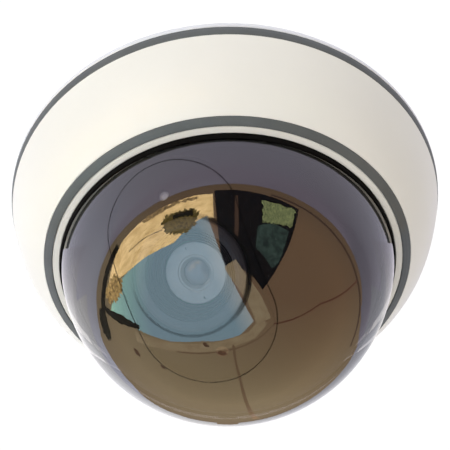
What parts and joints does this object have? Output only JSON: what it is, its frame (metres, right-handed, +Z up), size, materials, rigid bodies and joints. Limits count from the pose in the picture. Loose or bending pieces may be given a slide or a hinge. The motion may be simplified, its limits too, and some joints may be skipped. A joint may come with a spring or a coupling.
{
  "type": "dome camera",
  "caption": "Ceiling-mounted indoor dome camera: tapered two-tone cover, half-mirrored dome, slotted liner and a lens that pans, tilts, rotates and focuses.",
  "frame": {"origin": "centre of the flat back face that rests on the ceiling, on the axis of the cable entry", "axes": "+Z up into the ceiling along the cable entry, the dome hangs towards -Z; -Y is the side the lens looks out to, with the lens turned 25.5 degrees from -Y towards -X at rest"},
  "size_m": [0.1206, 0.1206, 0.0648],
  "materials": {
    "cover_plastic": "glossy moulded, cream white",
    "base_plastic": "semi-gloss moulded, cool white",
    "trim_rubber": "satin, dark grey",
    "seal_rubber": "matte black",
    "foam": "closed-cell foam, dark grey",
    "dome_plastic": "polished, half-mirrored and smoke tinted",
    "liner_plastic": "fine matte, near black",
    "hood_plastic": "satin black",
    "frame_plastic": "satin, dark grey",
    "spring_steel": "rolled strip",
    "screw_steel": "bright plated",
    "sheet_steel": "galvanised sheet",
    "circuit_board": "solder mask, semi-gloss green",
    "chip_plastic": "matte black",
    "socket_plastic": "satin ivory",
    "terminal_plastic": "satin green",
    "can_aluminium": "drawn cans",
    "sensor_glass": "polished cover glass",
    "filter_glass": "coated, pale cyan",
    "lens_glass": "coated, polished",
    "led_epoxy": "clear moulded lens",
    "photocell": "smooth resin window",
    "barrel_metal": "satin silver grey",
    "washer_plastic": "smooth natural"
  },
  "bodies": {
    "base": {"mounting_base": "base_plastic", "ceiling_gasket": "foam", "cable_grommet": "seal_rubber", "base_seal_ring": "trim_rubber", "cover_springs": "spring_steel", "main_board": "circuit_board", "board_screws": "screw_steel", "processor_chip": "chip_plastic", "power_terminal": "terminal_plastic", "video_socket": "socket_plastic", "capacitors": "can_aluminium", "power_inductor": "chip_plastic", "ribbon_socket": "socket_plastic", "chassis_plate": "sheet_steel", "chassis_screws": "screw_steel"},
    "cover": {"housing_cover": "cover_plastic", "bezel_ring": "trim_rubber", "dome_bubble": "dome_plastic", "dome_seal": "seal_rubber", "dome_retainer": "frame_plastic", "dome_retainer_screws": "screw_steel"},
    "pan_stage": {"pan_turntable": "frame_plastic", "pan_retainer": "frame_plastic", "pan_retainer_screws": "screw_steel", "gimbal_yoke": "frame_plastic", "yoke_screws": "screw_steel", "pivot_screws": "screw_steel", "tilt_washers": "washer_plastic", "inner_liner": "liner_plastic", "liner_screws": "screw_steel"},
    "tilt_stage": {"tilt_cradle": "liner_plastic", "status_led": "led_epoxy", "light_sensor": "photocell"},
    "rotation_stage": {"lens_carrier": "hood_plastic", "sensor_board": "circuit_board", "sensor_board_screws": "screw_steel", "sensor_socket": "socket_plastic", "image_sensor": "sensor_glass", "lens_holder": "hood_plastic", "infrared_filter": "filter_glass", "focus_lock_screw": "screw_steel"},
    "lens_group": {"front_lens": "lens_glass", "lens_spacer": "hood_plastic", "rear_lens": "lens_glass"},
    "focus_barrel": {"lens_barrel": "barrel_metal"}
  },
  "joints": [
    {"name": "cover_pull", "type": "slide", "parent": "base", "child": "cover", "axis": [0, 0, -1], "range_m": [0, 0.08]},
    {"name": "pan", "type": "hinge", "parent": "base", "child": "pan_stage", "pos_m": [0, 0, -0.0127], "axis": [0, 0, 1], "range_deg": [-175, 175]},
    {"name": "tilt", "type": "hinge", "parent": "pan_stage", "child": "tilt_stage", "pos_m": [0, 0, -0.02017], "axis": [-0.9026, 0.4305, 0], "range_deg": [-30, 26]},
    {"name": "lens_rotation", "type": "hinge", "parent": "tilt_stage", "child": "rotation_stage", "pos_m": [0, 0, -0.02017], "axis": [-0.2621, -0.5495, -0.7934], "range_deg": [-90, 90]},
    {"name": "focus_travel", "type": "slide", "parent": "rotation_stage", "child": "lens_group", "axis": [-0.2621, -0.5495, -0.7934], "range_m": [-0.0005, 0.0005]},
    {"name": "focus_turn", "type": "hinge", "parent": "lens_group", "child": "focus_barrel", "pos_m": [0, 0, -0.02017], "axis": [-0.2621, -0.5495, -0.7934], "range_deg": [-360, 360]}
  ],
  "couplings": [
    {"joint": "focus_turn", "follows": "focus_travel", "rad_per_m": 12566}
  ]
}
